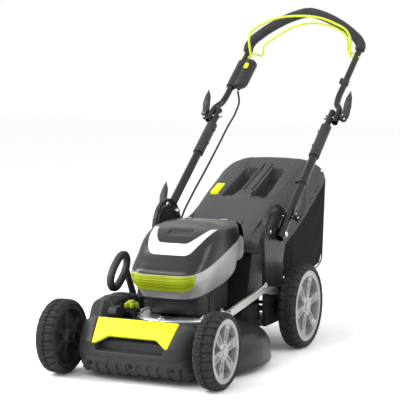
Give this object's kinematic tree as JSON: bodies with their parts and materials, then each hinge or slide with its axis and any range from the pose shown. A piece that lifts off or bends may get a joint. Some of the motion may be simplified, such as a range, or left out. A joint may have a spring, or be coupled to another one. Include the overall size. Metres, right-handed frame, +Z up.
{
  "type": "push lawn mower",
  "caption": "Cordless walk-behind lawn mower with four treaded wheels, a motor housing under a hinged lid, a folding telescopic handle with control bails, and a rear grass box.",
  "frame": {"origin": "centre of the footprint of the whole mower, on the ground", "axes": "+Z up, -Y to the front of the mower, +Y to the person pushing it, +X to the left hand of that person seen from the front, symmetric about X = 0 apart from the controls"},
  "size_m": [0.532, 1.397, 1.0475],
  "materials": {
    "tyre": "black moulded rubber with a block tread",
    "wheel_silver": "satin silver paint on moulded plastic",
    "dark_plastic": "dark grey moulded plastic with a fine grain",
    "deck_plastic": "dark grey moulded deck, satin",
    "bag_plastic": "mid grey moulded plastic with a fine grain",
    "lid_plastic": "dark grey semi-gloss moulded plastic",
    "silver_plastic": "silver metallic painted plastic",
    "grip_yellow": "satin fluorescent yellow moulded plastic",
    "lime_plastic": "lime green moulded plastic",
    "bail_lime": "lime powder coated steel wire",
    "tube_black": "gloss black powder coated steel tube",
    "black_plate": "black coated pressed steel",
    "foam": "dark grey closed cell foam sleeve",
    "cast_aluminium": "cast and machined aluminium",
    "bright_steel": "zinc plated and brushed steel",
    "motor_black": "black motor case",
    "battery": "black battery case",
    "cable": "dark grey ribbed cable jacket",
    "fabric": "black woven polyester",
    "start_yellow": "bright yellow moulded push button"
  },
  "bodies": {
    "root": {"deck_shell": "deck_plastic", "bumper": "dark_plastic", "front_grip": "grip_yellow", "motor_flange": "cast_aluminium", "motor_case": "motor_black", "housing_base": "dark_plastic", "housing_cover": "silver_plastic", "vent_grille": "lime_plastic", "hinge_band": "silver_plastic", "battery_left": "battery", "battery_right": "battery", "bracket_left": "black_plate", "bracket_right": "black_plate", "side_cover": "dark_plastic", "control_cable": "cable"},
    "blade_rotor": {"motor_shaft": "bright_steel", "blade_adapter": "cast_aluminium", "blade": "bright_steel", "blade_bolt": "bright_steel"},
    "front_crank": {"front_axle": "bright_steel"},
    "rear_crank": {"rear_axle": "bright_steel", "drive_gearbox": "dark_plastic"},
    "link": {"height_link": "bright_steel"},
    "lever": {"height_lever": "dark_plastic"},
    "wheel_front_left": {"tyre_front_left": "tyre", "wheel_core_front_left": "wheel_silver"},
    "wheel_front_right": {"tyre_front_right": "tyre", "wheel_core_front_right": "wheel_silver"},
    "wheel_rear_left": {"tyre_rear_left": "tyre", "wheel_core_rear_left": "wheel_silver"},
    "wheel_rear_right": {"tyre_rear_right": "tyre", "wheel_core_rear_right": "wheel_silver"},
    "lid": {"battery_lid": "lid_plastic"},
    "door": {"rear_door": "bag_plastic"},
    "grass_box": {"bag_cover": "bag_plastic", "bag_fabric": "fabric", "bag_frame": "dark_plastic"},
    "flag": {"bag_flag": "lime_plastic"},
    "lower_handle": {"lower_tube_left": "tube_black", "lower_tube_right": "tube_black", "tube_sleeve_left": "dark_plastic", "tube_sleeve_right": "dark_plastic", "lower_cam_bolt_left": "bright_steel", "lower_cam_bolt_right": "bright_steel"},
    "lower_cam_left": {"lower_cam_lever_left": "dark_plastic"},
    "lower_cam_right": {"lower_cam_lever_right": "dark_plastic"},
    "mid_handle": {"mid_tube_left": "tube_black", "mid_tube_right": "tube_black", "upper_cam_bolt_left": "bright_steel", "upper_cam_bolt_right": "bright_steel"},
    "upper_cam_left": {"upper_cam_lever_left": "dark_plastic"},
    "upper_cam_right": {"upper_cam_lever_right": "dark_plastic"},
    "top_handle": {"upper_handle": "tube_black", "foam_grip": "foam", "switch_box": "dark_plastic"},
    "outer_bail": {"outer_bail": "bail_lime"},
    "inner_bail": {"inner_bail": "bail_lime"},
    "start_button": {"start_button": "start_yellow"},
    "star_knob": {"star_knob": "lime_plastic"}
  },
  "joints": [
    {"name": "wheel_spin_front_left", "type": "hinge", "parent": "front_crank", "child": "wheel_front_left", "pos_m": [0.236, -0.59508, 0.1034], "axis": [1, 0, 0], "continuous": true},
    {"name": "wheel_spin_front_right", "type": "hinge", "parent": "front_crank", "child": "wheel_front_right", "pos_m": [-0.236, -0.59508, 0.1034], "axis": [1, 0, 0], "continuous": true},
    {"name": "wheel_spin_rear_left", "type": "hinge", "parent": "rear_crank", "child": "wheel_rear_left", "pos_m": [0.236, 0.01392, 0.127], "axis": [1, 0, 0], "continuous": true},
    {"name": "wheel_spin_rear_right", "type": "hinge", "parent": "rear_crank", "child": "wheel_rear_right", "pos_m": [-0.236, 0.01392, 0.127], "axis": [1, 0, 0], "continuous": true},
    {"name": "blade_spin", "type": "hinge", "parent": "root", "child": "blade_rotor", "pos_m": [0, -0.33308, 0.046], "axis": [0, 0, 1], "continuous": true},
    {"name": "height_adjust", "type": "hinge", "parent": "root", "child": "lever", "pos_m": [-0.195, -0.24308, 0.15], "axis": [-1, 0, 0], "range_deg": [0, 40]},
    {"name": "front_crank_turn", "type": "hinge", "parent": "root", "child": "front_crank", "pos_m": [0, -0.55822, 0.07759], "axis": [1, 0, 0], "range_deg": [0, 70]},
    {"name": "rear_crank_turn", "type": "hinge", "parent": "root", "child": "rear_crank", "pos_m": [0, 0.05078, 0.10119], "axis": [1, 0, 0], "range_deg": [0, 70]},
    {"name": "link_turn", "type": "hinge", "parent": "front_crank", "child": "link", "pos_m": [0.2, -0.54812, 0.13673], "axis": [1, 0, 0], "range_deg": [-70, 0]},
    {"name": "lid_hinge", "type": "hinge", "parent": "root", "child": "lid", "pos_m": [0, -0.15808, 0.398], "axis": [-1, 0, 0], "range_deg": [0, 70]},
    {"name": "door_hinge", "type": "hinge", "parent": "root", "child": "door", "pos_m": [0, -0.11708, 0.3], "axis": [1, 0, 0], "range_deg": [0, 40]},
    {"name": "grass_box_slide", "type": "slide", "parent": "root", "child": "grass_box", "axis": [0, 0.9026, 0.4305], "range_m": [0, 0.15]},
    {"name": "flag_hinge", "type": "hinge", "parent": "grass_box", "child": "flag", "pos_m": [-0.105, 0.12592, 0.446], "axis": [1, 0, 0], "range_deg": [0, 25]},
    {"name": "handle_fold", "type": "hinge", "parent": "root", "child": "lower_handle", "pos_m": [0, -0.06208, 0.351], "axis": [1, 0, 0], "range_deg": [0, 126], "deforming": ["control_cable"]},
    {"name": "handle_extend", "type": "slide", "parent": "lower_handle", "child": "mid_handle", "axis": [0, 0.783, 0.622], "range_m": [0, 0.08]},
    {"name": "upper_fold", "type": "hinge", "parent": "mid_handle", "child": "top_handle", "pos_m": [0, 0.35372, 0.68127], "axis": [1, 0, 0], "range_deg": [-150, 0]},
    {"name": "lower_cam_left", "type": "hinge", "parent": "lower_handle", "child": "lower_cam_left", "pos_m": [0.229, -0.00335, 0.39765], "axis": [0, 0.622, -0.783], "range_deg": [0, 90]},
    {"name": "upper_cam_left", "type": "hinge", "parent": "mid_handle", "child": "upper_cam_left", "pos_m": [0.246, 0.35372, 0.68127], "axis": [0, 0.622, -0.783], "range_deg": [0, 90]},
    {"name": "lower_cam_right", "type": "hinge", "parent": "lower_handle", "child": "lower_cam_right", "pos_m": [-0.229, -0.00335, 0.39765], "axis": [0, -0.622, 0.783], "range_deg": [0, 90]},
    {"name": "upper_cam_right", "type": "hinge", "parent": "mid_handle", "child": "upper_cam_right", "pos_m": [-0.246, 0.35372, 0.68127], "axis": [0, -0.622, 0.783], "range_deg": [0, 90]},
    {"name": "outer_bail_pull", "type": "hinge", "parent": "top_handle", "child": "outer_bail", "pos_m": [0, 0.59725, 0.8747], "axis": [-1, 0, 0], "range_deg": [0, 28], "stiffness_Nm_per_rad": 0.6, "springref_deg": -17.19},
    {"name": "inner_bail_pull", "type": "hinge", "parent": "top_handle", "child": "inner_bail", "pos_m": [0, 0.61525, 0.889], "axis": [-1, 0, 0], "range_deg": [0, 16], "stiffness_Nm_per_rad": 0.6, "springref_deg": -17.19},
    {"name": "start_press", "type": "slide", "parent": "top_handle", "child": "start_button", "axis": [0, 0.622, -0.783], "range_m": [0, 0.003], "stiffness_N_per_m": 300},
    {"name": "knob_turn", "type": "hinge", "parent": "root", "child": "star_knob", "pos_m": [-0.118, -0.40908, 0.166], "axis": [0, 0, 1], "continuous": true}
  ],
  "couplings": [
    {"joint": "front_crank_turn", "follows": "height_adjust", "ratio": 1.75},
    {"joint": "rear_crank_turn", "follows": "height_adjust", "ratio": 1.75},
    {"joint": "link_turn", "follows": "height_adjust", "ratio": -1.75},
    {"joint": "upper_fold", "follows": "handle_fold", "ratio": -1.19}
  ]
}
